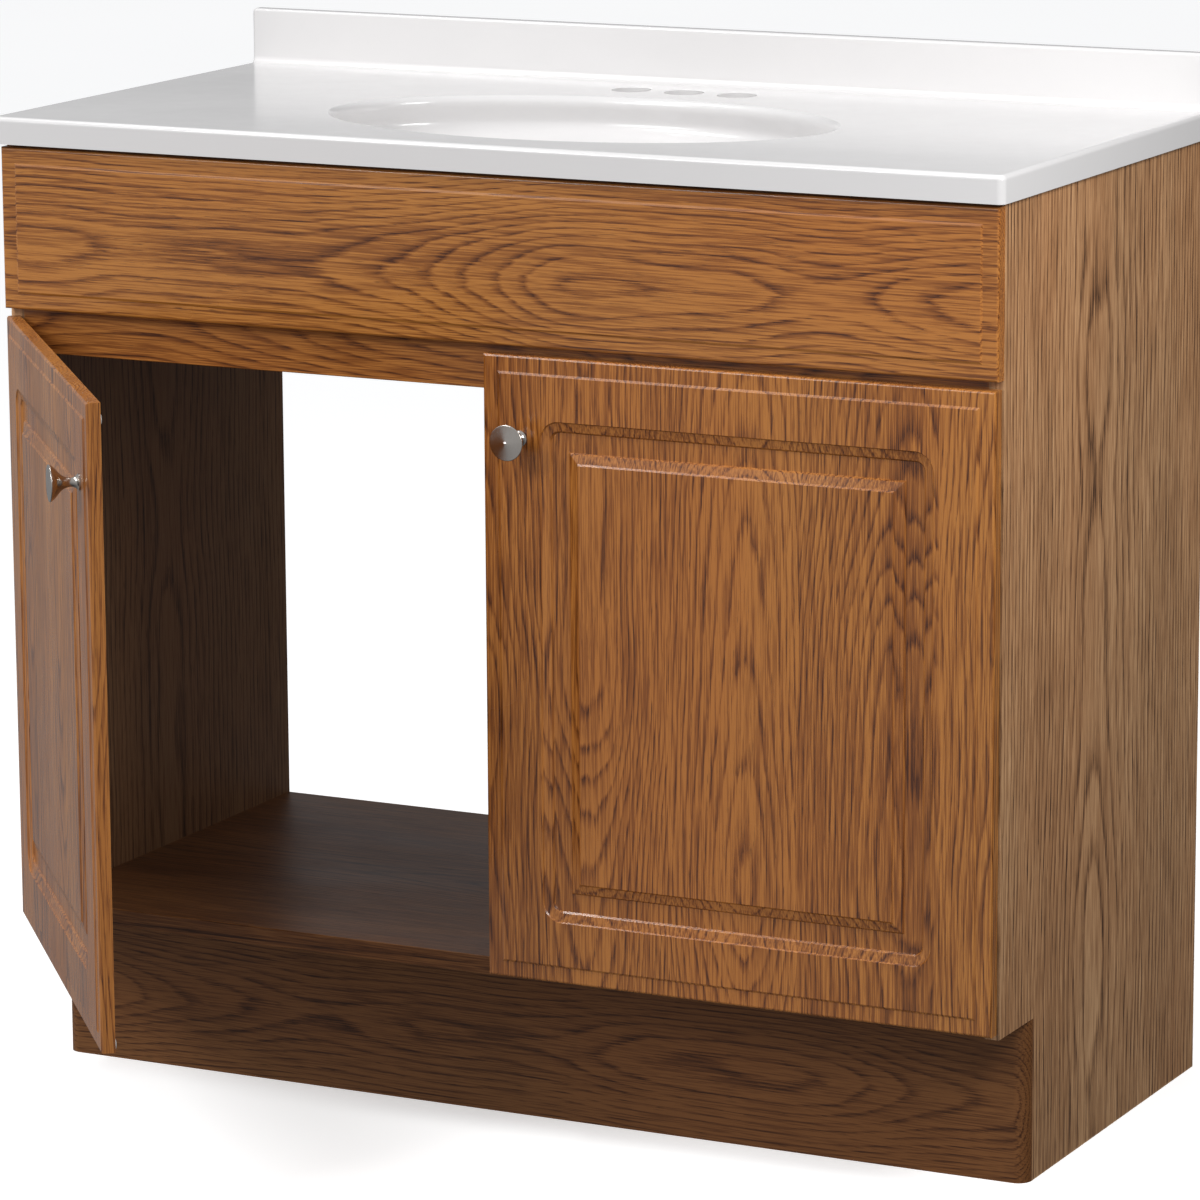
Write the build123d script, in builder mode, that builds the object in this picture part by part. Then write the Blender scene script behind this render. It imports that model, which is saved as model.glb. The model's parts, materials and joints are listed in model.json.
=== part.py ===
from build123d import *
import os
from math import cos, radians, sin

# A bathroom vanity cabinet: a boxed wooden carcass with a one-piece sink top, a fixed false drawer
# front, and two overlay doors on concealed single-pivot hinges. Millimetres, +Z up. The origin is on
# the floor, in the wall plane, on the cabinet's centre line. +X is the right side, -Y the front.

# ---- driving dimensions ----
case_width = 914.4
case_depth = 440.0
case_height = 815.0
panel_thick = 12.7
shelf_thick = 15.9
kick_height = 137.7
kick_setback = 60.0
kick_corner = 12.0

top_side_overhang = 5.5
top_front_overhang = 18.0
top_thick = 23.0
top_corner = 6.0
top_edge_round = 4.0
splash_height = 49.0
splash_thick = 13.0
splash_cove = 6.0
splash_round = 2.5

bowl_centre_y = -266.0
bowl_half_length = 225.0
bowl_half_width = 143.0
bowl_depth = 135.0
bowl_wall = 10.0
bowl_floor_thick = 12.0
shell_sink = 1.0
bowl_rim_round = 7.0
wall_end_turn = 78.0
wall_fullness = 0.8
wall_steps = 7
lip_start_turn = 25.0
lip_steps = 3
drain_radius = 22.5
faucet_hole_radius = 17.5
faucet_spacing = 50.8
faucet_hole_y = -68.0

door_width = 453.0
door_height = 524.7
door_bottom = 142.3
door_thick = 12.7
door_gap = 1.5
door_side_reveal = 1.5
door_edge_round = 2.4
front_height = 138.0
front_bottom = 674.0
front_width = 913.6

# the routed pattern on the front faces: inset from the outer edge, and depth below the face
step_inset = 13.5
step_slope = 2.0
step_depth = 1.1
groove_outer = [(52.0, 0.0), (53.0, 1.3), (60.0, 2.9), (61.5, 4.6)]
groove_inner = [(87.0, 0.0), (85.5, 1.3), (78.4, 2.9), (77.0, 4.6)]
groove_path_inset = 69.0

rail_height = 76.3
rail_bottom = 635.7
stretcher_height = 50.8
back_rail_height = 101.6
shelf_setback = 1.0
soft_edge = 0.8

# the hinge pivot, from the door's outer edge and from the front of the case
pivot_inset = 4.4
pivot_forward = 9.3
left_door_open = 50.0
hinge_end_distance = 90.0
pin_radius = 1.0
pin_play = 0.05
eye_radius = 1.75
arm_half_width = 5.0
arm_thick = 1.6
arm_reach = 16.0
arm_plate_start = 14.0
arm_plate_length = 38.0
arm_plate_half = 17.0
arm_screw_depth = 32.0
arm_screw_length = 9.5
arm_screw_pitch = 20.0
crank_dip = 0.9
crank_over = 2.0
crank_down = 12.0
crank_end = 24.0
crank_bend = 1.5
cup_centre_inset = 21.0
cup_radius = 17.45
cup_depth = 10.6
cup_wall = 0.7
cup_slot_half = 7.0
cup_slot_inset = 1.65
cup_seat_play = 0.05
flange_thick = 0.9
flange_radius = 19.5
flange_opening = 2.0
ear_inset = 30.5
ear_pitch = 45.0
ear_radius = 6.0
cup_screw_length = 9.0

knob_inset = 34.0
knob_drop = 68.0
knob_length = 26.5
knob_base_radius = 6.8
knob_base_thick = 1.4
knob_face_radius = 14.8
knob_face_height = 23.6
knob_lip = 0.6
# the knob's waist: radius, and distance from the door's face
knob_waist = [(4.6, 3.6), (3.7, 8.0), (5.8, 14.0), (12.2, 20.2)]
knob_screw_radius = 2.0
knob_screw_depth = 12.0
knob_screw_clear = 2.0
knob_screw_head = 4.5
knob_screw_head_height = 2.0
knob_screw_dome = 1.2
driver_slot = (5.5, 1.2, 0.9)

fit_play = 0.05
dowel_radius = 4.0
dowel_in_panel = 9.0
dowel_in_board = 21.0
dowel_chamfer = 0.8
cam_bolt_radius = 2.5
cam_bolt_in_board = 26.0
cam_collar_inset = 2.0
cam_collar_length = 1.0
cam_radius = 7.4
cam_distance = 24.0
cam_cover = 2.0
cam_bolt_room = 1.0
cam_drive_depth = 1.2
shelf_cam_inset = 75.0
shelf_dowel_inset = 130.0
rail_cam_height = 50.0
rail_dowel_height = 20.0
stretcher_cam_drop = 28.0
stretcher_dowel_height = 10.0
back_rail_cam_drop = 30.0
back_rail_dowel_height = 25.0
base_rail_cam_drop = 38.0
base_rail_dowel_height = 40.0
wood_screw_radius = 1.75
wood_screw_head = 3.6
wood_screw_head_height = 2.0
screw_head_bevel = 0.8
screw_head_slope = 1.0
screw_cross = (3.0, 0.8, 1.0)
front_screw_x = 330.0
front_screw_bite = 9.0
block_leg = 48.0
block_screw_offset = 29.0
block_screw_length = 9.0
block_shoulder = 6.0
block_head_play = 0.6
block_height = 16.0
cleat_size = 19.0
cleat_inset = 15.0
cleat_chamfer = 2.0
bumper_radius = 4.0
bumper_thick = 1.1
bumper_round = 0.6
bumper_inset = 8.0
bumper_top_drop = 14.0
bumper_bottom_rise = 6.0
# how far two solids that are joined into one reach into each other
overlap = 0.01

# ---- places worked out from them ----
half_width = case_width / 2
inner_half = half_width - panel_thick
front_y = -case_depth
kick_front_y = front_y + kick_setback
kick_back_y = kick_front_y + panel_thick
top_face = case_height + top_thick
door_outer = half_width - door_side_reveal
door_back_y = front_y - door_gap
door_front_y = door_back_y - door_thick
door_top = door_bottom + door_height
pivot_x = door_outer - pivot_inset
pivot_y = front_y - pivot_forward
hinge_heights = {"upper": door_top - hinge_end_distance, "lower": door_bottom + hinge_end_distance}
stretcher_bottom = case_height - stretcher_height
back_rail_bottom = case_height - back_rail_height
rail_back_y = front_y + panel_thick
knob_x = door_outer - door_width + knob_inset
knob_z = door_top - knob_drop
left_axis = Axis((-pivot_x, pivot_y, 0), (0, 0, 1))

STANDING = (Align.CENTER, Align.CENTER, Align.MIN)
HANGING = (Align.CENTER, Align.CENTER, Align.MAX)

os.makedirs("parts", exist_ok=True)


def save(shape, name):
    """Label a finished piece and write it to its own file."""
    shape.label = name
    export_step(shape, f"parts/{name}.step")


def save_door_pair(shape, name):
    """Write a piece of the left door, turned open about its hinges, and its closed mirror on the right."""
    save(shape.rotate(left_axis, -left_door_open), f"left_{name}")
    save(mirror(shape, about=Plane.YZ), f"right_{name}")


def save_fixed_pair(shape, name):
    """Write a fixed piece of the left side and its mirror on the right."""
    save(shape, f"left_{name}")
    save(mirror(shape, about=Plane.YZ), f"right_{name}")


def rod(start, direction, radius, length, mode=Mode.ADD):
    """A round rod or hole from a start point along a direction."""
    with Locations(Plane(origin=start, z_dir=direction)):
        Cylinder(radius, length, align=STANDING, mode=mode)


# ---- where the knock-down fittings go: (board, y, z) on the left end of each board ----
shelf_mid_z = kick_height + shelf_thick / 2
rear_mid_y = -panel_thick / 2
front_mid_y = front_y + panel_thick / 2
cam_rows = {
    "bottom_shelf": [(front_y + shelf_cam_inset, shelf_mid_z), (-shelf_cam_inset, shelf_mid_z)],
    "front_rail": [(front_mid_y, rail_bottom + rail_cam_height)],
    "front_stretcher": [(front_mid_y, case_height - stretcher_cam_drop)],
    "back_rail": [(rear_mid_y, case_height - back_rail_cam_drop)],
    "rear_base_rail": [(rear_mid_y, kick_height - base_rail_cam_drop)],
}
dowel_rows = {
    "bottom_shelf": [(front_y + shelf_dowel_inset, shelf_mid_z), (-shelf_dowel_inset, shelf_mid_z)],
    "front_rail": [(front_mid_y, rail_bottom + rail_dowel_height)],
    "front_stretcher": [(front_mid_y, stretcher_bottom + stretcher_dowel_height)],
    "back_rail": [(rear_mid_y, back_rail_bottom + back_rail_dowel_height)],
    "rear_base_rail": [(rear_mid_y, base_rail_dowel_height)],
}
# the way each board's cams face, and the face that they are let into
cam_faces = {
    "bottom_shelf": ((0, 0, -1), kick_height),
    "front_rail": ((0, 1, 0), rail_back_y),
    "front_stretcher": ((0, 1, 0), rail_back_y),
    "back_rail": ((0, -1, 0), -panel_thick),
    "rear_base_rail": ((0, -1, 0), -panel_thick),
}


def cam_seat(board, row, side):
    """The centre of a cam on its board's face, and the direction into the board."""
    facing, face_at = cam_faces[board]
    y, z = row
    x = side * (inner_half - cam_distance)
    if facing[2]:
        return (x, y, face_at), tuple(-value for value in facing)
    return (x, face_at, z), tuple(-value for value in facing)


def cam_length(board):
    """How far a cam goes into its board."""
    return (shelf_thick if board == "bottom_shelf" else panel_thick) - cam_cover


def drill_board(board):
    """The holes that one board needs at both ends for its dowels, cam bolts and cams."""
    for side in (-1, 1):
        for y, z in dowel_rows[board]:
            hole = dowel_in_board + fit_play
            rod((side * inner_half, y, z), (-side, 0, 0), dowel_radius + fit_play, hole, Mode.SUBTRACT)
        for row in cam_rows[board]:
            start = (side * inner_half, *row)
            rod(start, (-side, 0, 0), cam_bolt_radius + fit_play, cam_bolt_in_board, Mode.SUBTRACT)
            seat, inward = cam_seat(board, row, side)
            rod(seat, inward, cam_radius + fit_play, cam_length(board) + fit_play, Mode.SUBTRACT)


# ---- carcass boards ----
cleat_height = kick_height - 2 * cleat_inset
arm_screw_y = front_y + arm_screw_depth
block_mid_z = case_height - block_height / 2

with BuildPart() as side_panel:
    with BuildSketch(Plane.YZ.offset(-half_width)):
        with BuildLine():
            Polyline(
                (0, 0),
                (0, case_height),
                (front_y, case_height),
                (front_y, kick_height),
                (kick_back_y, kick_height),
                (kick_back_y, 0),
                close=True,
            )
        make_face()
    extrude(amount=panel_thick)
    for board in cam_rows:
        for y, z in dowel_rows[board]:
            rod((-inner_half, y, z), (-1, 0, 0), dowel_radius + fit_play, dowel_in_panel, Mode.SUBTRACT)
        for y, z in cam_rows[board]:
            rod((-inner_half, y, z), (-1, 0, 0), cam_bolt_radius + fit_play, dowel_in_panel, Mode.SUBTRACT)
    for height in hinge_heights.values():
        for spread in (-arm_screw_pitch / 2, arm_screw_pitch / 2):
            start = (-inner_half, arm_screw_y, height + spread)
            rod(start, (-1, 0, 0), wood_screw_radius + fit_play, arm_screw_length, Mode.SUBTRACT)
    for y in (-panel_thick - block_screw_offset, rail_back_y + block_screw_offset):
        start = (-inner_half, y, block_mid_z)
        rod(start, (-1, 0, 0), wood_screw_radius + fit_play, block_screw_length, Mode.SUBTRACT)
save_fixed_pair(side_panel.part, "side_panel")

with BuildPart() as bottom_shelf:
    with BuildSketch(Plane.XY.offset(kick_height)):
        with Locations((0, front_y / 2)):
            Rectangle(2 * inner_half, case_depth - 2 * shelf_setback)
    extrude(amount=shelf_thick)
    fillet(bottom_shelf.edges().filter_by(Axis.X).group_by(Axis.Y)[0], soft_edge)
    drill_board("bottom_shelf")
save(bottom_shelf.part, "bottom_shelf")

with BuildPart() as toe_kick_board:
    with BuildSketch(Plane.XY):
        with Locations((0, (kick_front_y + kick_back_y) / 2)):
            Rectangle(case_width, panel_thick)
    extrude(amount=kick_height)
    fillet(toe_kick_board.edges().filter_by(Axis.Z).group_by(Axis.Y)[0], kick_corner)
save(toe_kick_board.part, "toe_kick_board")

with BuildPart() as kick_cleat:
    with BuildSketch(Plane.XY.offset(cleat_inset)):
        with Locations((-inner_half, kick_back_y)):
            Rectangle(cleat_size, cleat_size, align=(Align.MIN, Align.MIN))
    extrude(amount=cleat_height)
    chamfer(kick_cleat.edges().filter_by(Axis.Z).group_by(Axis.X)[-1], cleat_chamfer)
save_fixed_pair(kick_cleat.part, "kick_cleat")

with BuildPart() as rear_base_rail:
    with BuildSketch(Plane.XY):
        Rectangle(2 * inner_half, panel_thick, align=(Align.CENTER, Align.MAX))
    extrude(amount=kick_height)
    drill_board("rear_base_rail")
save(rear_base_rail.part, "rear_base_rail")

front_screw_length = panel_thick + front_screw_bite
rail_screw_z = (rail_bottom + rail_height + front_bottom) / 2
stretcher_screw_z = stretcher_bottom + stretcher_height / 2
front_screw_spots = [
    (x, rail_back_y, z) for x in (-front_screw_x, front_screw_x) for z in (rail_screw_z, stretcher_screw_z)
]

with BuildPart() as front_rail:
    with BuildSketch(Plane.XY.offset(rail_bottom)):
        with Locations((0, front_y)):
            Rectangle(2 * inner_half, panel_thick, align=(Align.CENTER, Align.MIN))
    extrude(amount=rail_height)
    fillet(front_rail.edges().filter_by(Axis.X).group_by(Axis.Z)[0], soft_edge)
    drill_board("front_rail")
    for spot in front_screw_spots:
        rod(spot, (0, -1, 0), wood_screw_radius + fit_play, front_screw_length, Mode.SUBTRACT)
save(front_rail.part, "front_rail")

with BuildPart() as front_stretcher:
    with BuildSketch(Plane.XY.offset(stretcher_bottom)):
        with Locations((0, front_y)):
            Rectangle(2 * inner_half, panel_thick, align=(Align.CENTER, Align.MIN))
    extrude(amount=stretcher_height)
    drill_board("front_stretcher")
    for spot in front_screw_spots:
        rod(spot, (0, -1, 0), wood_screw_radius + fit_play, front_screw_length, Mode.SUBTRACT)
    for side in (-1, 1):
        start = (side * (inner_half - block_screw_offset), rail_back_y, block_mid_z)
        rod(start, (0, -1, 0), wood_screw_radius + fit_play, block_screw_length, Mode.SUBTRACT)
save(front_stretcher.part, "front_stretcher")

with BuildPart() as back_rail:
    with BuildSketch(Plane.XY.offset(back_rail_bottom)):
        Rectangle(2 * inner_half, panel_thick, align=(Align.CENTER, Align.MAX))
    extrude(amount=back_rail_height)
    drill_board("back_rail")
    for side in (-1, 1):
        start = (side * (inner_half - block_screw_offset), -panel_thick, block_mid_z)
        rod(start, (0, 1, 0), wood_screw_radius + fit_play, block_screw_length, Mode.SUBTRACT)
save(back_rail.part, "back_rail")

# ---- knock-down fittings ----
with BuildPart() as dowels:
    for rows in dowel_rows.values():
        for y, z in rows:
            for side in (-1, 1):
                start = (side * (inner_half + dowel_in_panel - fit_play), y, z)
                rod(start, (-side, 0, 0), dowel_radius, dowel_in_panel + dowel_in_board - fit_play)
    chamfer(dowels.edges().filter_by(GeomType.CIRCLE), dowel_chamfer)
save(dowels.part, "dowels")

with BuildPart() as cam_bolts:
    for rows in cam_rows.values():
        for y, z in rows:
            for side in (-1, 1):
                start = (side * (inner_half + dowel_in_panel - fit_play), y, z)
                shank = dowel_in_panel - fit_play + cam_distance
                rod(start, (-side, 0, 0), cam_bolt_radius, shank)
                collar_start = (side * (inner_half + cam_collar_inset), y, z)
                rod(collar_start, (-side, 0, 0), cam_bolt_radius + fit_play / 2, cam_collar_length)
save(cam_bolts.part, "cam_bolts")

with BuildPart() as cam_locks:
    for board, rows in cam_rows.items():
        for row in rows:
            for side in (-1, 1):
                seat, inward = cam_seat(board, row, side)
                rod(seat, inward, cam_radius, cam_length(board))
                start = (side * (inner_half - cam_distance + cam_radius + cam_bolt_room), *row)
                hole = cam_radius + cam_bolt_room + fit_play
                rod(start, (-side, 0, 0), cam_bolt_radius + 2 * fit_play, hole, Mode.SUBTRACT)
                rod(seat, inward, cam_radius / 3, cam_drive_depth, Mode.SUBTRACT)
save(cam_locks.part, "cam_locks")

# ---- corner blocks under the sink top ----
block_spots = {
    "rear": (-panel_thick, -1),
    "front": (rail_back_y, 1),
}
for place, (corner_y, run) in block_spots.items():
    with BuildPart() as corner_block:
        with BuildSketch(Plane.XY.offset(case_height - block_height)):
            with BuildLine():
                Polyline(
                    (-inner_half, corner_y),
                    (-inner_half + block_leg, corner_y),
                    (-inner_half, corner_y + run * block_leg),
                    close=True,
                )
            make_face()
        extrude(amount=block_height)
        screw_room = wood_screw_radius + fit_play
        head_room = wood_screw_head + block_head_play
        start = (-inner_half, corner_y + run * block_screw_offset, block_mid_z)
        rod(start, (1, 0, 0), screw_room, block_leg, Mode.SUBTRACT)
        head_start = (-inner_half + block_shoulder, corner_y + run * block_screw_offset, block_mid_z)
        rod(head_start, (1, 0, 0), head_room, block_leg, Mode.SUBTRACT)
        start = (-inner_half + block_screw_offset, corner_y, block_mid_z)
        rod(start, (0, run, 0), screw_room, block_leg, Mode.SUBTRACT)
        head_start = (-inner_half + block_screw_offset, corner_y + run * block_shoulder, block_mid_z)
        rod(head_start, (0, run, 0), head_room, block_leg, Mode.SUBTRACT)
    save_fixed_pair(corner_block.part, f"{place}_corner_block")


def wood_screw(face, inward, length):
    """A screw whose head stands on a face, with its shank going inward."""
    backward = tuple(-value for value in inward)
    straight = wood_screw_head_height - screw_head_bevel
    rod(face, inward, wood_screw_radius, length)
    rod(face, backward, wood_screw_head, straight)
    bevel_base = tuple(at + straight * step for at, step in zip(face, backward))
    cross_length, cross_width, cross_depth = screw_cross
    with Locations(Plane(origin=bevel_base, z_dir=backward)):
        Cone(wood_screw_head, wood_screw_head - screw_head_slope, screw_head_bevel, align=STANDING)
        with Locations((0, 0, screw_head_bevel)):
            Box(cross_length, cross_width, cross_depth, align=HANGING, mode=Mode.SUBTRACT)
            Box(cross_width, cross_length, cross_depth, align=HANGING, mode=Mode.SUBTRACT)


with BuildPart() as corner_block_screws:
    for corner_y, run in block_spots.values():
        for side in (-1, 1):
            beside_y = corner_y + run * block_screw_offset
            to_side = (side * (inner_half - block_shoulder), beside_y, block_mid_z)
            wood_screw(to_side, (side, 0, 0), block_shoulder + block_screw_length - fit_play)
            ahead_y = corner_y + run * block_shoulder
            to_rail = (side * (inner_half - block_screw_offset), ahead_y, block_mid_z)
            wood_screw(to_rail, (0, -run, 0), block_shoulder + block_screw_length - fit_play)
save(corner_block_screws.part, "corner_block_screws")

# ---- false drawer front ----
step_top_inset = step_inset + step_slope
drawer_plane = Plane(
    origin=(0, front_y, front_bottom + front_height / 2), x_dir=(1, 0, 0), z_dir=(0, -1, 0)
)
with BuildPart() as drawer_front:
    with BuildSketch(drawer_plane):
        Rectangle(front_width, front_height)
    extrude(amount=door_thick - step_depth)
    fillet(drawer_front.faces().sort_by(Axis.Y)[0].edges(), door_edge_round)
    with BuildSketch(drawer_plane.offset(door_thick - step_depth - overlap)):
        Rectangle(front_width - 2 * step_inset, front_height - 2 * step_inset)
    with BuildSketch(drawer_plane.offset(door_thick)):
        Rectangle(front_width - 2 * step_top_inset, front_height - 2 * step_top_inset)
    loft(ruled=True)
    for spot in front_screw_spots:
        rod(spot, (0, -1, 0), wood_screw_radius + fit_play, front_screw_length, Mode.SUBTRACT)
save(drawer_front.part, "drawer_front")

with BuildPart() as drawer_front_screws:
    for spot in front_screw_spots:
        wood_screw(spot, (0, -1, 0), front_screw_length - fit_play)
save(drawer_front_screws.part, "drawer_front_screws")

# ---- doors, drawn closed on the left ----
door_mid_x = -(door_outer - door_width / 2)
door_mid_z = door_bottom + door_height / 2
door_plane = Plane(origin=(door_mid_x, door_back_y, door_mid_z), x_dir=(1, 0, 0), z_dir=(0, -1, 0))
cup_x = -(door_outer - cup_centre_inset)
slot_end_x = -(door_outer - cup_slot_inset)
ear_x = -(door_outer - ear_inset)
bumper_heights = [door_top - bumper_top_drop, door_bottom + bumper_bottom_rise]

with BuildPart() as door:
    with BuildSketch(door_plane):
        Rectangle(door_width, door_height)
    extrude(amount=door_thick - step_depth)
    fillet(door.faces().sort_by(Axis.Y)[0].edges(), door_edge_round)
    with BuildSketch(door_plane.offset(door_thick - step_depth - overlap)):
        Rectangle(door_width - 2 * step_inset, door_height - 2 * step_inset)
    with BuildSketch(door_plane.offset(door_thick)):
        Rectangle(door_width - 2 * step_top_inset, door_height - 2 * step_top_inset)
    loft(ruled=True)
    # the routed recess: three sloping rings going down, with rounded corners
    for (inset_high, depth_high), (inset_low, depth_low) in zip(groove_outer, groove_outer[1:]):
        with BuildSketch(door_plane.offset(door_thick - depth_high)):
            corner = groove_path_inset - inset_high
            RectangleRounded(door_width - 2 * inset_high, door_height - 2 * inset_high, corner)
        with BuildSketch(door_plane.offset(door_thick - depth_low)):
            corner = groove_path_inset - inset_low
            RectangleRounded(door_width - 2 * inset_low, door_height - 2 * inset_low, corner)
        loft(ruled=True, mode=Mode.SUBTRACT)
    # the raised centre panel: three rings coming back up, with mitred corners
    for (inset_high, depth_high), (inset_low, depth_low) in zip(groove_inner, groove_inner[1:]):
        with BuildSketch(door_plane.offset(door_thick - depth_low)):
            Rectangle(door_width - 2 * inset_low, door_height - 2 * inset_low)
        with BuildSketch(door_plane.offset(door_thick - depth_high)):
            Rectangle(door_width - 2 * inset_high, door_height - 2 * inset_high)
        loft(ruled=True)
    for height in hinge_heights.values():
        with BuildSketch(Plane.XZ.offset(-door_back_y)):
            with Locations((cup_x, height)):
                Circle(cup_radius + cup_seat_play)
            with Locations((slot_end_x - cup_seat_play, height)):
                slot_length = cup_x - slot_end_x + cup_seat_play
                Rectangle(
                    slot_length, 2 * (cup_slot_half + cup_seat_play), align=(Align.MIN, Align.CENTER)
                )
        extrude(amount=cup_depth, mode=Mode.SUBTRACT)
        for spread in (-ear_pitch / 2, ear_pitch / 2):
            start = (ear_x, door_back_y, height + spread)
            rod(start, (0, -1, 0), wood_screw_radius + fit_play, cup_screw_length, Mode.SUBTRACT)
    knob_start = (-knob_x, door_back_y, knob_z)
    rod(knob_start, (0, -1, 0), knob_screw_radius + fit_play, door_thick, Mode.SUBTRACT)
save_door_pair(door.part, "door")

with BuildPart() as door_bumpers:
    for height in bumper_heights:
        rod((-bumper_inset, door_back_y, height), (0, 1, 0), bumper_radius, bumper_thick)
    fillet(door_bumpers.edges().group_by(Axis.Y)[-1], bumper_round)
save_door_pair(door_bumpers.part, "door_bumpers")

# ---- knobs ----
knob_plane = Plane(origin=(-knob_x, door_front_y, knob_z), x_dir=(1, 0, 0), z_dir=(0, 0, 1))
with BuildPart() as knob:
    with BuildSketch(knob_plane):
        with BuildLine():
            foot = Line((0, 0), (knob_base_radius, 0))
            foot_side = Line(foot @ 1, (knob_base_radius, -knob_base_thick))
            waist_points = [(radius, -distance) for radius, distance in knob_waist]
            waist = Spline(foot_side @ 1, *waist_points, (knob_face_radius, -knob_face_height))
            rim = ThreePointArc(
                waist @ 1,
                (knob_face_radius + knob_lip / 6, -knob_face_height - 1.2 * knob_lip),
                (knob_face_radius - knob_lip, -knob_face_height - 2 * knob_lip),
            )
            face = Line(rim @ 1, (0, -knob_length))
            Line(face @ 1, (0, 0))
        make_face()
    revolve(axis=Axis((-knob_x, door_front_y, knob_z), (0, 1, 0)))
    socket_start = (-knob_x, door_front_y, knob_z)
    rod(socket_start, (0, -1, 0), knob_screw_radius + fit_play, knob_screw_depth, Mode.SUBTRACT)
save_door_pair(knob.part, "knob")

with BuildPart() as knob_screw:
    shank = door_thick + knob_screw_depth - knob_screw_clear
    rod(knob_start, (0, -1, 0), knob_screw_radius, shank)
    rod(knob_start, (0, 1, 0), knob_screw_head, knob_screw_head_height)
    fillet(knob_screw.edges().group_by(Axis.Y)[-1], knob_screw_dome)
    with Locations((-knob_x, door_back_y + knob_screw_head_height, knob_z)):
        Box(*driver_slot, align=(Align.CENTER, Align.MAX, Align.CENTER), mode=Mode.SUBTRACT)
save_door_pair(knob_screw.part, "knob_screw")

# ---- hinges: a slotted cup let into the door, a pin across its slot, and a cranked arm ----
plate_back_x = -inner_half
arm_x = -(door_outer - arm_reach)
for level, height in hinge_heights.items():
    low_z = height - arm_half_width
    with BuildPart() as hinge_cup:
        with BuildSketch(Plane.XZ.offset(-door_back_y)):
            with Locations((cup_x, height)):
                Circle(cup_radius)
            with Locations((slot_end_x, height)):
                Rectangle(cup_x - slot_end_x, 2 * cup_slot_half, align=(Align.MIN, Align.CENTER))
        extrude(amount=cup_depth - cup_seat_play)
        with BuildSketch(Plane.XZ.offset(-door_back_y)):
            with Locations((cup_x, height)):
                Circle(flange_radius)
            with Locations((ear_x, height)):
                SlotOverall(ear_pitch + 2 * ear_radius, 2 * ear_radius, rotation=90)
            with Locations((slot_end_x - flange_opening, height)):
                clear = (cup_x - slot_end_x + flange_opening, 2 * (cup_slot_half - cup_wall))
                Rectangle(*clear, align=(Align.MIN, Align.CENTER), mode=Mode.SUBTRACT)
        extrude(amount=-flange_thick)
        with BuildSketch(Plane.XZ.offset(-door_back_y - flange_thick)):
            with Locations((cup_x, height)):
                Circle(cup_radius - cup_wall)
            with Locations((slot_end_x + cup_wall, height)):
                Rectangle(
                    cup_x - slot_end_x - cup_wall,
                    2 * (cup_slot_half - cup_wall),
                    align=(Align.MIN, Align.CENTER),
                )
        extrude(amount=cup_depth - cup_seat_play - cup_wall + flange_thick, mode=Mode.SUBTRACT)
        pin_start = (-pivot_x, pivot_y, height - cup_slot_half)
        rod(pin_start, (0, 0, 1), pin_radius, 2 * cup_slot_half, Mode.SUBTRACT)
        for spread in (-ear_pitch / 2, ear_pitch / 2):
            start = (ear_x, door_back_y + flange_thick, height + spread)
            rod(start, (0, -1, 0), wood_screw_radius + fit_play, flange_thick, Mode.SUBTRACT)
    save_door_pair(hinge_cup.part, f"{level}_hinge_cup")

    with BuildPart() as hinge_pin:
        rod((-pivot_x, pivot_y, height - cup_slot_half), (0, 0, 1), pin_radius, 2 * cup_slot_half)
    save_door_pair(hinge_pin.part, f"{level}_hinge_pin")

    with BuildPart() as hinge_arm:
        # the cranked strip from the pin, across the cup, out past the panel's edge and back to it
        with BuildSketch(Plane.XY.offset(low_z)):
            with BuildLine():
                crank = FilletPolyline(
                    (-pivot_x, pivot_y),
                    (arm_x, pivot_y - crank_dip),
                    (arm_x, front_y + crank_over),
                    (plate_back_x + arm_thick / 2, front_y + crank_down),
                    (plate_back_x + arm_thick / 2, front_y + crank_end),
                    radius=crank_bend,
                )
                offset(crank, amount=arm_thick / 2, side=Side.BOTH)
            make_face()
        extrude(amount=2 * arm_half_width)
        rod((-pivot_x, pivot_y, low_z), (0, 0, 1), eye_radius, 2 * arm_half_width)
        # the plate that lies on the side panel
        with BuildSketch(Plane.YZ.offset(plate_back_x)):
            with Locations((front_y + arm_plate_start, height)):
                Rectangle(arm_plate_length, 2 * arm_plate_half, align=(Align.MIN, Align.CENTER))
        extrude(amount=arm_thick)
        rod((-pivot_x, pivot_y, low_z), (0, 0, 1), pin_radius + pin_play, 2 * arm_half_width, Mode.SUBTRACT)
        for spread in (-arm_screw_pitch / 2, arm_screw_pitch / 2):
            start = (plate_back_x, arm_screw_y, height + spread)
            rod(start, (1, 0, 0), wood_screw_radius + fit_play, arm_thick, Mode.SUBTRACT)
    save_fixed_pair(hinge_arm.part, f"{level}_hinge_arm")

with BuildPart() as cup_screws:
    for height in hinge_heights.values():
        for spread in (-ear_pitch / 2, ear_pitch / 2):
            face = (ear_x, door_back_y + flange_thick, height + spread)
            wood_screw(face, (0, -1, 0), flange_thick + cup_screw_length - fit_play)
save_door_pair(cup_screws.part, "cup_screws")

with BuildPart() as arm_screws:
    for height in hinge_heights.values():
        for spread in (-arm_screw_pitch / 2, arm_screw_pitch / 2):
            face = (plate_back_x + arm_thick, arm_screw_y, height + spread)
            wood_screw(face, (-1, 0, 0), arm_thick + arm_screw_length - fit_play)
save_fixed_pair(arm_screws.part, "arm_screws")

# ---- sink top: deck, oval bowl and backsplash cast in one ----
top_width = case_width + 2 * top_side_overhang
top_depth = case_depth + top_front_overhang


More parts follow.
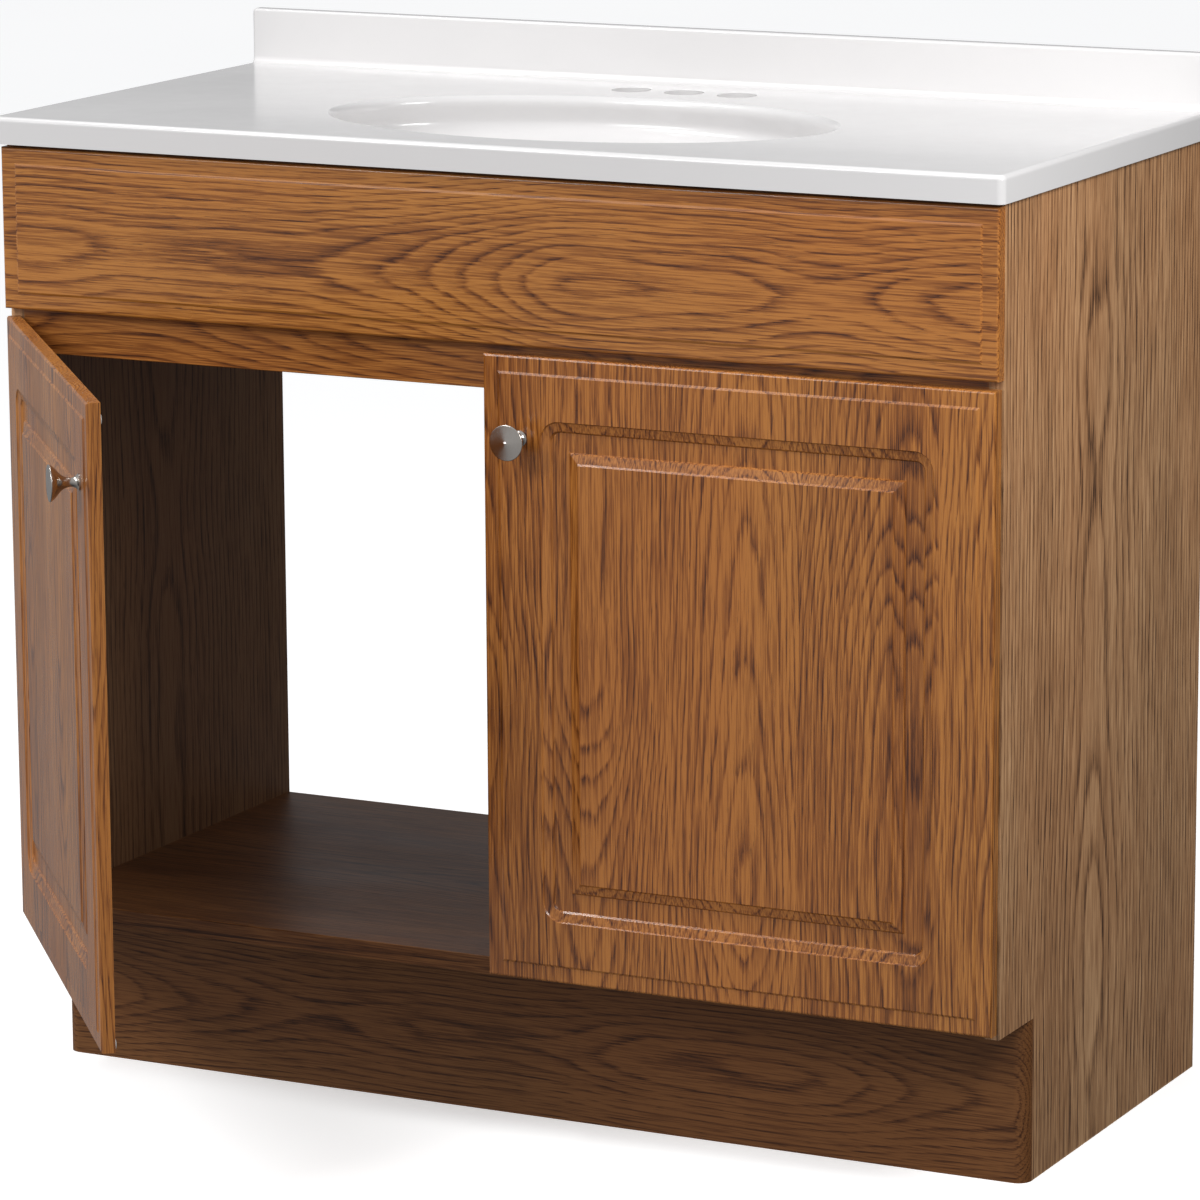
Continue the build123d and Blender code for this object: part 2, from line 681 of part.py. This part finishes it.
def oval_bowl(rim):
    """The bowl's hollow, lofted through level ovals from its rounded lip to its floor."""
    rings = []
    for step in range(lip_steps):
        turn = radians(lip_start_turn + (90 - lip_start_turn) * step / lip_steps)
        rings.append((rim * (1 - cos(turn)), 1.0, rim * (1 - sin(turn))))
    for step in range(wall_steps + 1):
        turn = radians(wall_end_turn * step / wall_steps)
        fall = sin(turn) / sin(radians(wall_end_turn))
        rings.append((rim + (bowl_depth - rim) * fall, cos(turn) ** wall_fullness, 0.0))
    top_drop = rings[0][0]
    with BuildPart() as bowl:
        for drop, size, extra in rings:
            with BuildSketch(Plane.XY.offset(top_face - drop + top_drop)):
                with Locations((0, bowl_centre_y)):
                    Ellipse((bowl_half_length + extra) * size, (bowl_half_width + extra) * size)
        loft()
    return bowl.part


def oval_shell(grow, depth):
    """The bowl's outside, which starts just inside the deck and has no rounded lip."""
    with BuildPart() as shell:
        for step in range(wall_steps + 1):
            turn = radians(wall_end_turn * step / wall_steps)
            drop = depth * sin(turn) / sin(radians(wall_end_turn))
            size = cos(turn) ** wall_fullness
            with BuildSketch(Plane.XY.offset(top_face - drop - shell_sink)):
                with Locations((0, bowl_centre_y)):
                    Ellipse((bowl_half_length + grow) * size, (bowl_half_width + grow) * size)
        loft()
    return shell.part


with BuildPart() as sink_top:
    with BuildSketch(Plane.XY.offset(case_height)):
        with Locations((0, -top_depth / 2)):
            Rectangle(top_width, top_depth)
    extrude(amount=top_thick)
    front_corners = sink_top.edges().filter_by(Axis.Z).group_by(Axis.Y)[0]
    fillet(front_corners, top_corner)
    with BuildSketch(Plane.YZ.offset(-top_width / 2)):
        with BuildLine():
            outline = Polyline(
                (0, top_face - shell_sink),
                (0, top_face + splash_height),
                (-splash_thick, top_face + splash_height),
                (-splash_thick, top_face + splash_cove),
            )
            cove = TangentArc(outline @ 1, (-splash_thick - splash_cove, top_face), tangent=(0, -1))
            Polyline(cove @ 1, (-splash_thick - splash_cove, top_face - shell_sink), outline @ 0)
        make_face()
    extrude(amount=top_width)
    splash_edges = sink_top.edges().filter_by(Axis.X).group_by(Axis.Z)[-1]
    fillet(splash_edges, splash_round)
    deck_edges = sink_top.edges().group_by(Axis.Y)[0] + sink_top.edges().filter_by(Axis.Y)
    fillet([edge for edge in deck_edges if abs(edge.center().Z - top_face) < 1], top_edge_round)
    add(oval_shell(bowl_wall, bowl_depth + bowl_floor_thick))
    add(oval_bowl(bowl_rim_round), mode=Mode.SUBTRACT)
    drain_start = (0, bowl_centre_y, top_face - bowl_depth - 2 * bowl_floor_thick)
    rod(drain_start, (0, 0, 1), drain_radius, 3 * bowl_floor_thick, Mode.SUBTRACT)
    for x in (-faucet_spacing, 0, faucet_spacing):
        rod((x, faucet_hole_y, case_height), (0, 0, 1), faucet_hole_radius, top_thick, Mode.SUBTRACT)
save(sink_top.part, "sink_top")
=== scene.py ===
import json
from math import cos, pi, radians, sin

import bmesh
import bpy
from mathutils import Matrix, Vector


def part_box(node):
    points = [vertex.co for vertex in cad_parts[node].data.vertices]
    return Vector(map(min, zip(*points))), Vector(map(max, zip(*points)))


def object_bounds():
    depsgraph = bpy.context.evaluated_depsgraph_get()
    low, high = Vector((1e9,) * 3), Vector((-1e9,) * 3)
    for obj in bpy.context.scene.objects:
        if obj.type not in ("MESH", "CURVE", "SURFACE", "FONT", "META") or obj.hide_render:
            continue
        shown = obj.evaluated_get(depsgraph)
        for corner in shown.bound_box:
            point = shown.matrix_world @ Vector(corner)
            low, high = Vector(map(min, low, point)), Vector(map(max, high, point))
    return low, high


# A bathroom vanity cabinet: oak-look doors and case, a one-piece cast sink top, nickel knobs.
# Metres, +Z up, the front towards -Y. Every shape is the CAD model's own. What is added here is
# the finish of each surface, the floor, the lights and the camera.

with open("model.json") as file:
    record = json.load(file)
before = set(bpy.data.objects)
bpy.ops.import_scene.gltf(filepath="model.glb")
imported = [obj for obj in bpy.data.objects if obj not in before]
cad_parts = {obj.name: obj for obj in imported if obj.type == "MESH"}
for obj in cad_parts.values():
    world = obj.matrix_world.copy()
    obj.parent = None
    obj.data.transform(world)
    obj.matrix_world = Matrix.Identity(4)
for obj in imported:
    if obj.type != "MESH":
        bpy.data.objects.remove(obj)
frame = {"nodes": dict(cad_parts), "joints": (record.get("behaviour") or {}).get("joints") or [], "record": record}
cad_low, cad_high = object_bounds()
nodes = frame["nodes"]
slot_of = {part["node"]: part["material_slot"] for part in frame["record"]["subparts"]}

left_hinge = next(joint for joint in frame["joints"] if joint["child"] == "left_door")
hinge_place = Vector(left_hinge["pos_m"])
# the left door is drawn open, so its grain is laid out on the closed door and turned with it
open_angle = radians(-left_hinge["range_deg"][0])


class Shader:
    """One procedural material, built up from its nodes."""

    def __init__(self, name):
        self.material = bpy.data.materials.new(name)
        self.material.use_nodes = True
        self.tree = self.material.node_tree
        self.surface = self.tree.nodes["Principled BSDF"]

    def feed(self, socket, value):
        """Link another node's output to a socket, or set the socket's own value."""
        if isinstance(value, bpy.types.NodeSocket):
            self.tree.links.new(value, socket)
        else:
            socket.default_value = value

    def node(self, kind, values=(), **settings):
        """A new node with its settings, and values for its inputs in order."""
        made = self.tree.nodes.new(kind)
        for key, value in settings.items():
            setattr(made, key, value)
        for socket, value in zip(made.inputs, values):
            self.feed(socket, value)
        return made

    def math(self, operation, *values, clamp=False):
        return self.node("ShaderNodeMath", values, operation=operation, use_clamp=clamp).outputs[0]

    def vector(self, operation, *values):
        return self.node("ShaderNodeVectorMath", values, operation=operation).outputs[0]

    def noise(self, place, scale, detail=3.0, roughness=0.5, distortion=0.0):
        made = self.node("ShaderNodeTexNoise")
        settings = {"Vector": place, "Scale": scale, "Detail": detail}
        settings.update({"Roughness": roughness, "Distortion": distortion})
        for name, value in settings.items():
            self.feed(made.inputs[name], value)
        return made.outputs[0]

    def spread(self, value, low, high, to_low=0.0, to_high=1.0):
        """Stretch a range of a value to another range, and stop at its ends."""
        made = self.node("ShaderNodeMapRange", (value, low, high, to_low, to_high))
        return made.outputs[0]

    def ramp(self, factor, *stops):
        """Colours along a value, each stop a place and a colour."""
        made = self.node("ShaderNodeValToRGB", (factor,))
        elements = made.color_ramp.elements
        while len(elements) < len(stops):
            elements.new(1.0)
        for element, (place, colour) in zip(elements, stops):
            element.position = place
            element.color = (*colour, 1.0)
        return made.outputs[0]

    def mix(self, factor, first, second, blend="MIX"):
        """Blend two colours."""
        made = self.node("ShaderNodeMix", data_type="RGBA", blend_type=blend)
        for index, value in ((0, factor), (6, first), (7, second)):
            is_colour = index > 0 and not isinstance(value, bpy.types.NodeSocket)
            self.feed(made.inputs[index], (*value, 1.0) if is_colour else value)
        return made.outputs[2]

    def bump(self, height, strength, distance):
        made = self.node("ShaderNodeBump")
        self.feed(made.inputs["Strength"], strength)
        self.feed(made.inputs["Distance"], distance)
        self.feed(made.inputs["Height"], height)
        return made.outputs[0]

    def place(self, opened=False):
        """A point's place in metres, on the closed door if the piece is on the open one."""
        place = self.node("ShaderNodeTexCoord").outputs["Object"]
        if not opened:
            return place
        turned = self.node("ShaderNodeVectorRotate", rotation_type="Z_AXIS")
        self.feed(turned.inputs["Vector"], place)
        self.feed(turned.inputs["Center"], hinge_place)
        self.feed(turned.inputs["Angle"], open_angle)
        return turned.outputs[0]

    def axes(self, place):
        """The X, Y and Z of a place."""
        return list(self.node("ShaderNodeSeparateXYZ", (place,)).outputs)

    def join(self, *values):
        return self.node("ShaderNodeCombineXYZ", values).outputs[0]

    def scaled(self, place, scale, shift):
        """A place stretched along each axis, to make streaks of noise, and moved to a fresh patch."""
        inputs = (place, (shift, shift, shift), (0, 0, 0), scale)
        return self.node("ShaderNodeMapping", inputs).outputs[0]

    def finish(self, **values):
        """Set the surface's inputs by name, with underscores for spaces."""
        for name, value in values.items():
            self.feed(self.surface.inputs[name.replace("_", " ")], value)
        return self.material


def rgb(red, green, blue):
    """A colour given as a screen shows it, 0 to 255, as the light that it reflects."""
    return tuple(((part / 255 + 0.055) / 1.055) ** 2.4 for part in (red, green, blue))


def edge_line(shader, place, low, high, width):
    """1 on a board's edges, falling to 0 a short way in: the second nearest face of its box."""
    gaps = []
    for value, start, end in zip(shader.axes(place), low, high):
        near = shader.math("SUBTRACT", value, start)
        far = shader.math("SUBTRACT", end, value)
        gaps.append(shader.math("ABSOLUTE", shader.math("MINIMUM", near, far)))
    first = shader.math("MAXIMUM", shader.math("MINIMUM", gaps[0], gaps[1]), gaps[2])
    second = shader.math("MAXIMUM", gaps[0], gaps[1])
    return shader.spread(shader.math("MINIMUM", first, second), 0.0, width, 1.0, 0.0)


# ---- wood ----
oak_tones = {"dark": rgb(74, 35, 11), "mid": rgb(145, 87, 36), "light": rgb(188, 124, 58)}
laminate_tones = {"dark": rgb(62, 36, 20), "mid": rgb(170, 126, 86), "light": rgb(208, 165, 122)}
# darker oak tones for the shelf inside the case and the toe kick under the doors: painted shade
shaded_inner_tones = {"dark": rgb(54, 30, 16), "mid": rgb(98, 61, 33), "light": rgb(126, 84, 48)}
pine_tones = {"dark": rgb(150, 108, 66), "mid": rgb(196, 156, 108), "light": rgb(218, 184, 138)}
tone_places = {"light": 0.0, "mid": 0.38, "dark": 1.0}
warm_cast = rgb(236, 196, 150)
# the colour that darkens the side panels' inner faces: painted shade
inner_shade_colour = rgb(176, 164, 154)

# Patterns drawn out along the grain: waves per metre across it and along it, a shift to a fresh
# patch, how many finer layers there are, and how strong those are.
grain_patterns = {
    "wave": (6.0, 0.9, 0.0, 2.0, 0.5),
    "flutter": (700.0, 40.0, 0.0, 2.0, 0.6),
    "wobble": (45.0, 5.0, 0.0, 2.0, 0.5),
    "fibre": (850.0, 20.0, 5.0, 2.0, 0.6),
    "streak": (600.0, 8.0, 9.0, 2.0, 0.6),
    "broad": (26.0, 1.8, 0.0, 3.0, 0.55),
    "dash": (1300.0, 60.0, 0.0, 2.0, 0.5),
    "hue": (6.0, 2.0, 3.0, 2.0, 0.5),
    "patch": (30.0, 30.0, 0.0, 4.0, 0.5),
    "smear": (9.0, 4.0, 0.0, 4.0, 0.6),
}
# the ranges that patterns are stretched between: from a low and a high value, to two new ones
streak_range = (0.40, 0.60, 0.22, 0.92)
fibre_range = (0.34, 0.68, -0.12, 0.50)
broad_range = (0.3, 0.7, -0.12, 0.14)
pore_range = (0.60, 0.70)
pore_fade = (0.0, 0.7, 0.8, 0.15)
hue_range = (0.35, 0.7, 0.0, 0.35)
worn_range = (0.42, 0.68, 0.08, 0.45)

strip_width = 0.118
strip_wander = 0.09
board_wander = 0.05
wave_reach = 0.030
tone_swing = 0.26

# the log's centre: its least depth behind the face, how far it strays, and how often
heart_depth = 0.034
drift_reach = 0.075
drift_waves = 1.9
drift_layers = 2.0
drift_strength = 0.45
taper_span = 0.08

rings_per_metre = 300.0
panel_rings_per_metre = 170.0
ring_wobble = 1.2
ring_flutter = 0.40
# how dark the wood is across one growth ring, from its early wood to its late wood
ring_shade = ((0.0, 0.95), (0.10, 0.65), (0.30, 0.16), (0.86, 0.0), (0.98, 0.60))

edge_width = 0.0022
edge_lift = 1.35
pore_depth = 0.7
pore_dullness = 0.15
fibre_relief = 0.25
relief_strength = 0.12
relief_height = 0.0002
coat_roughness = 0.10


def centred(chance, span):
    """What turns a chance from 0 to 1 into a swing of that span about 0: its factor and offset."""
    return chance, span, -span / 2


def wood(name, low, high, along, through, tones, seed, figure=1.0, strips=False, opened=False,
         growth=rings_per_metre, roughness=0.27, specular=0.5, coat=0.0, painted_inner_shade=0.0):
    """Oak with its grain along one axis, cut from the log with its face across another axis."""
    shader = Shader(name)
    place = shader.place(opened)
    parts = dict(zip("XYZ", shader.axes(place)))
    crosswise = next(axis for axis in "XYZ" if axis not in (along, through))
    run = parts[along]
    depth = shader.math("SUBTRACT", parts[through], low["XYZ".index(through)])
    across = parts[crosswise]
    board = shader.join(across, depth, run)

    def pattern(kind):
        """One of the patterns that are drawn out along the grain."""
        wide, long, shift, layers, strength = grain_patterns[kind]
        stretched = shader.scaled(board, (wide, wide, long), seed + shift)
        return shader.noise(stretched, 1.0, layers, strength)

    # slow waves carry the growth rings from side to side
    across = shader.math("MULTIPLY_ADD", pattern("wave"), wave_reach * figure, across)
    if strips:
        # a door is glued up from strips, and each has a centre of its own
        shifted = shader.math("ADD", across, seed)
        strip = shader.math("FLOOR", shader.math("DIVIDE", shifted, strip_width))
        strip_seed = shader.math("ADD", strip, seed)
        middle = shader.math("MULTIPLY", shader.math("ADD", strip, 0.5), strip_width)
        aside = shader.math("SUBTRACT", shifted, middle)
        wander = strip_wander
    else:
        strip = 0.0
        strip_seed = seed
        side = "XYZ".index(crosswise)
        aside = shader.math("SUBTRACT", across, (low[side] + high[side]) / 2)
        wander = board_wander
    chance = shader.node("ShaderNodeTexWhiteNoise", noise_dimensions="1D")
    shader.feed(chance.inputs["W"], strip_seed)
    wander_chance, taper_chance, tone_chance = shader.axes(chance.outputs["Color"])
    swing = shader.math("MULTIPLY_ADD", *centred(wander_chance, wander))
    aside = shader.math("ADD", aside, swing)

    # the log's centre lies behind the face, and comes nearer and goes further along the board
    drift_place = shader.join(shader.math("MULTIPLY", run, drift_waves), strip, seed)
    drift = shader.noise(drift_place, 1.0, drift_layers, drift_strength)
    taper = shader.math("MULTIPLY_ADD", *centred(taper_chance, taper_span))
    slope = shader.math("MULTIPLY", run, taper)
    strayed = shader.math("MULTIPLY_ADD", drift, drift_reach * figure, heart_depth)
    behind = shader.math("ADD", shader.math("ADD", strayed, slope), depth)
    radius = shader.math("SQRT", shader.math("ADD", shader.math("MULTIPLY", aside, aside),
                                             shader.math("MULTIPLY", behind, behind)))
    wobble = shader.math("MULTIPLY", pattern("wobble"), ring_wobble)
    rings = shader.math("MULTIPLY_ADD", radius, growth, wobble)
    rings = shader.math("MULTIPLY_ADD", pattern("flutter"), ring_flutter, rings)
    ring = shader.math("FRACT", rings)

    # early wood is dark and open, and each ring pales towards its late wood
    early = shader.ramp(ring, *((stop, (shade,) * 3) for stop, shade in ring_shade))
    fibre = pattern("fibre")
    dark = shader.math("MULTIPLY", early, shader.spread(pattern("streak"), *streak_range))
    dark = shader.math("ADD", dark, shader.spread(fibre, *fibre_range))
    dark = shader.math("ADD", dark, shader.spread(pattern("broad"), *broad_range))
    tone = shader.math("MULTIPLY_ADD", *centred(tone_chance, tone_swing))
    dark = shader.math("ADD", dark, tone, clamp=True)
    colour = shader.ramp(dark, *((stop, tones[shade]) for shade, stop in tone_places.items()))

    # pores are short dark dashes, thickest in the early wood
    pore = shader.spread(pattern("dash"), *pore_range)
    pore = shader.math("MULTIPLY", pore, shader.spread(ring, *pore_fade))
    colour = shader.mix(pore, colour, tuple(part * pore_depth for part in tones["dark"]))
    colour = shader.mix(shader.spread(pattern("hue"), *hue_range), colour, warm_cast, "MULTIPLY")

    # a side panel's inner face is painted darker: painted shade inside the case
    if painted_inner_shade:
        outside = shader.math("GREATER_THAN", shader.math("ABSOLUTE", parts["X"]), painted_inner_shade)
        inner_shaded = shader.mix(1.0, colour, inner_shade_colour, "MULTIPLY")
        colour = shader.mix(outside, inner_shaded, colour)

    # edges are rubbed a little paler, unevenly
    edge = edge_line(shader, place, low, high, edge_width)
    worn = shader.math("MULTIPLY", edge, shader.spread(pattern("patch"), *worn_range))
    colour = shader.mix(worn, colour, tuple(min(1.0, part * edge_lift) for part in tones["light"]))

    gloss = shader.spread(pattern("smear"), 0.3, 0.7, roughness - 0.05, roughness + 0.06)
    gloss = shader.math("MULTIPLY_ADD", pore, pore_dullness, gloss)
    relief = shader.math("SUBTRACT", shader.math("MULTIPLY", fibre, fibre_relief), pore)
    return shader.finish(
        Base_Color=colour, Roughness=gloss, Specular_IOR_Level=specular,
        Normal=shader.bump(relief, relief_strength, relief_height),
        Coat_Weight=coat, Coat_Roughness=coat_roughness)


# ---- casting, metals, plastics ----
cast_pale = (0.745, 0.73, 0.725)
cast_cloudy = (0.73, 0.716, 0.712)
cast_grit = (0.66, 0.66, 0.67)
nickel = (0.52, 0.48, 0.44)
nickel_stain = (0.42, 0.385, 0.345)
steel = (0.62, 0.62, 0.60)
steel_stain = (0.48, 0.48, 0.47)
zinc = (0.60, 0.59, 0.54)
zinc_stain = (0.50, 0.46, 0.36)
groove_pitch = 0.00042
groove_stretch = 0.65
plastic_shade = 0.88


def cast_top():
    """Gloss cast stone: a clean off-white with faint clouding and a polished gel skin."""
    shader = Shader("cast_top")
    place = shader.place()
    cloud = shader.noise(place, 7.0, 5.0, 0.6, 0.6)
    grit = shader.noise(place, 420.0, 2.0)
    colour = shader.mix(shader.spread(cloud, 0.35, 0.68), cast_pale, cast_cloudy)
    colour = shader.mix(shader.spread(grit, 0.62, 0.75, 0.0, 0.10), colour, cast_grit)
    haze = shader.noise(place, 11.0, 4.0, 0.65)
    ripple = shader.noise(place, 38.0, 2.0)
    return shader.finish(
        Base_Color=colour, Roughness=shader.spread(haze, 0.35, 0.7, 0.17, 0.21),
        Normal=shader.bump(ripple, 0.06, 0.0004), Specular_IOR_Level=0.5,
        Coat_Weight=0.1, Coat_Roughness=0.05)


def metal(name, colour, stain, roughness, opened=False, spun_about=None):
    """Plated metal with faint smudges, and turned rings if it was finished on a lathe."""
    shader = Shader(name)
    place = shader.place(opened)
    smudge = shader.noise(place, 60.0, 4.0, 0.6)
    height = shader.noise(place, 900.0, 2.0)
    tone = shader.mix(shader.spread(smudge, 0.4, 0.7, 0.0, 0.55), colour, stain)
    gloss = shader.spread(smudge, 0.3, 0.7, roughness - 0.05, roughness + 0.08)
    if spun_about is not None:
        from_axis = shader.vector("SUBTRACT", place, spun_about)
        sides = shader.axes(from_axis)
        flat = shader.join(sides[0], 0.0, sides[2])
        length = shader.node("ShaderNodeVectorMath", (flat,), operation="LENGTH")
        turns = shader.math("MULTIPLY", length.outputs["Value"], 2 * pi / groove_pitch)
        height = shader.math("MULTIPLY_ADD", shader.math("SINE", turns), 0.5, height)
        around = shader.vector("CROSS_PRODUCT", flat, (0, 1, 0))
        if opened:
            turned = shader.node("ShaderNodeVectorRotate", rotation_type="Z_AXIS")
            shader.feed(turned.inputs["Vector"], around)
            shader.feed(turned.inputs["Angle"], -open_angle)
            around = turned.outputs[0]
        shader.finish(Tangent=shader.vector("NORMALIZE", around), Anisotropic=groove_stretch)
    return shader.finish(Base_Color=tone, Metallic=1.0, Roughness=gloss,
                         Normal=shader.bump(height, 0.10, 0.00006))


def moulded(name, colour, roughness):
    """Plain moulded plastic or rubber: uneven tone, a fine spark texture and handling marks."""
    shader = Shader(name)
    place = shader.place()
    blotch = shader.noise(place, 35.0, 4.0, 0.6)
    spark = shader.noise(place, 1500.0, 2.0)
    shaded = tuple(part * plastic_shade for part in colour)
    tone = shader.mix(shader.spread(blotch, 0.3, 0.7), colour, shaded)
    gloss = shader.spread(blotch, 0.3, 0.7, roughness, roughness + 0.12)
    return shader.finish(Base_Color=tone, Roughness=gloss, Normal=shader.bump(spark, 0.25, 0.00008))


# ---- the finish of each piece ----
def wood_kind(node):
    """How a wooden piece is cut and finished."""
    if node in ("left_door", "right_door"):
        return {"along": "Z", "through": "Y", "tones": oak_tones, "strips": True, "coat": 0.08}
    if node == "front_rail":
        return {"along": "X", "through": "Y", "tones": oak_tones, "figure": 0.8, "roughness": 0.4}
    if node == "drawer_front":
        return {"along": "X", "through": "Y", "tones": oak_tones, "figure": 1.2, "coat": 0.08}
    if node.endswith("side_panel"):
        # side panels: laminate, with painted shade on the inner face inside the case
        return {"along": "Z", "through": "X", "tones": laminate_tones, "roughness": 0.5,
                "growth": panel_rings_per_metre, "specular": 0.4,
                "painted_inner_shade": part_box("bottom_shelf")[1].x + 0.001}
    if node == "bottom_shelf":
        return {"along": "X", "through": "Z", "tones": shaded_inner_tones, "figure": 0.5,
                "roughness": 0.42, "specular": 0.22}
    if node == "toe_kick_board":
        return {"along": "X", "through": "Y", "tones": shaded_inner_tones, "figure": 0.8,
                "roughness": 0.5, "specular": 0.22}
    if node.endswith("cleat"):
        return {"along": "Z", "through": "X", "tones": pine_tones, "roughness": 0.7}
    if node == "dowels":
        return {"along": "X", "through": "Z", "tones": pine_tones, "roughness": 0.65}
    return {"along": "X", "through": "Y", "tones": laminate_tones, "figure": 0.7,
            "roughness": 0.45, "specular": 0.35}


flat_finishes = {
    "cast_top": cast_top(),
    "hinge_steel": metal("hinge_steel", steel, steel_stain, 0.30),
    "zinc_steel": metal("zinc_steel", zinc, zinc_stain, 0.38),
    "white_plastic": moulded("white_plastic", (0.78, 0.76, 0.72), 0.45),
    "bumper_rubber": moulded("bumper_rubber", (0.62, 0.62, 0.60), 0.35),
}


def closed_box(node, opened):
    """A node's box, on the closed door if the node is on the open one."""
    if not opened:
        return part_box(node)
    turn = (Matrix.Translation(hinge_place) @ Matrix.Rotation(open_angle, 4, "Z")
            @ Matrix.Translation(-hinge_place))
    points = [turn @ vertex.co for vertex in nodes[node].data.vertices]
    low = Vector(min(point[axis] for point in points) for axis in range(3))
    high = Vector(max(point[axis] for point in points) for axis in range(3))
    return low, high


wooden_slots = ("oak_front", "oak_laminate", "raw_wood", "dowel_beech")
first_seed = 1.7
seed_step = 3.3
on_open_door = set(frame["record"]["behaviour"]["bodies"]["left_door"])
for number, (name, shape) in enumerate(sorted(nodes.items())):
    slot = slot_of[name]
    opened = name in on_open_door
    low, high = closed_box(name, opened)
    if slot in wooden_slots:
        seed = first_seed + seed_step * number
        finish = wood(name + "_wood", low, high, seed=seed, opened=opened, **wood_kind(name))
    elif slot == "satin_nickel":
        finish = metal(name + "_nickel", nickel, nickel_stain, 0.17, opened, (low + high) / 2)
    else:
        finish = flat_finishes[slot]
    shape.data.materials.clear()
    shape.data.materials.append(finish)

# ---- floor ----
floor_half = 200.0
floor_divisions = 8
floor_pale = (0.89, 0.89, 0.885)
floor_grey = (0.86, 0.86, 0.86)
floor_glow = 0.50
floor_mesh = bmesh.new()
bmesh.ops.create_grid(floor_mesh, x_segments=floor_divisions, y_segments=floor_divisions,
                      size=floor_half)
floor_data = bpy.data.meshes.new("floor")
floor_mesh.to_mesh(floor_data)
floor_mesh.free()
floor = bpy.data.objects.new("floor", floor_data)
bpy.context.scene.collection.objects.link(floor)
floor_shader = Shader("floor_paint")
floor_cloud = floor_shader.noise(floor_shader.place(), 1.3, 3.0)
floor_tone = floor_shader.mix(floor_cloud, floor_grey, floor_pale)
floor_data.materials.append(floor_shader.finish(
    Base_Color=floor_tone, Roughness=0.75,
    Emission_Color=(1.0, 1.0, 1.0, 1.0), Emission_Strength=floor_glow))
# the floor only shows itself and catches shadows: it throws no light on the cabinet
floor.visible_diffuse = False
floor.visible_glossy = False


# ---- lights ----
def aim(thing, place, target):
    """Put a light or camera at a place, looking at a target."""
    thing.location = place
    thing.rotation_mode = "QUATERNION"
    thing.rotation_quaternion = (Vector(target) - Vector(place)).to_track_quat("-Z", "Y")


def softbox(name, place, target, width, height, power):
    """A rectangular studio light, in metres and watts."""
    lamp = bpy.data.lights.new(name, "AREA")
    lamp.shape = "RECTANGLE"
    lamp.size = width
    lamp.size_y = height
    lamp.energy = power
    holder = bpy.data.objects.new(name, lamp)
    bpy.context.scene.collection.objects.link(holder)
    aim(holder, place, target)
    holder.visible_camera = False


middle = (cad_low + cad_high) / 2
panel_top = (0.45, -0.2, 0.75)
softbox("key_light", (-1.5, -3.1, 2.45), middle, 1.1, 1.1, 43.0)
softbox("top_light", (-1.15, -0.85, 2.5), middle, 0.9, 0.22, 14.0)
softbox("side_light", (1.35, -0.75, 1.35), panel_top, 0.5, 0.5, 12.5)

# the surroundings: cool white, brightest high up in front, with a weaker patch behind on the left
sky_tint = (0.86, 0.87, 0.89, 1.0)
front_sky = (-0.20, -0.60, 0.77)
back_sky = (-0.72, 0.69, -0.10)
sky = bpy.data.worlds.new("studio")
sky.use_nodes = True
bpy.context.scene.world = sky
sky_tree = sky.node_tree
background = sky_tree.nodes["Background"]
background.inputs["Color"].default_value = sky_tint
sky_place = sky_tree.nodes.new("ShaderNodeTexCoord")


def glow(toward, start, end, low, high):
    """A part of the surroundings that brightens from one level to another towards one direction."""
    facing = sky_tree.nodes.new("ShaderNodeVectorMath")
    facing.operation = "DOT_PRODUCT"
    facing.inputs[1].default_value = Vector(toward).normalized()
    fall = sky_tree.nodes.new("ShaderNodeMapRange")
    for socket, value in zip(fall.inputs[1:5], (start, end, low, high)):
        socket.default_value = value
    sky_tree.links.new(sky_place.outputs["Generated"], facing.inputs[0])
    sky_tree.links.new(facing.outputs["Value"], fall.inputs["Value"])
    return fall.outputs[0]


total = sky_tree.nodes.new("ShaderNodeMath")
sky_tree.links.new(glow(front_sky, -0.6, 0.9, 0.06, 0.72), total.inputs[0])
sky_tree.links.new(glow(back_sky, -0.1, 1.0, 0.0, 0.16), total.inputs[1])
sky_tree.links.new(total.outputs[0], background.inputs["Strength"])

# ---- camera ----
camera_place = Vector((2.18476, -4.59567, 1.43496))
camera_yaw = -0.4646
camera_pitch = -0.2052
camera_roll = -0.0059
camera_sensor = 36.0
camera_lens = 174.35
camera_reach = 100.0
forward = Vector((sin(camera_yaw) * cos(camera_pitch), cos(camera_yaw) * cos(camera_pitch),
                  sin(camera_pitch)))
level = Vector((cos(camera_yaw), -sin(camera_yaw), 0.0))
upward = level.cross(forward)
right = level * cos(camera_roll) + upward * sin(camera_roll)
upward = upward * cos(camera_roll) - level * sin(camera_roll)
lens = bpy.data.cameras.new("camera")
lens.sensor_width = camera_sensor
lens.lens = camera_lens
lens.clip_end = camera_reach
camera = bpy.data.objects.new("camera", lens)
bpy.context.scene.collection.objects.link(camera)
camera.matrix_world = Matrix((
    (right.x, upward.x, -forward.x, camera_place.x),
    (right.y, upward.y, -forward.y, camera_place.y),
    (right.z, upward.z, -forward.z, camera_place.z),
    (0.0, 0.0, 0.0, 1.0)))
bpy.context.scene.camera = camera
bpy.context.scene.view_settings.view_transform = "Standard"
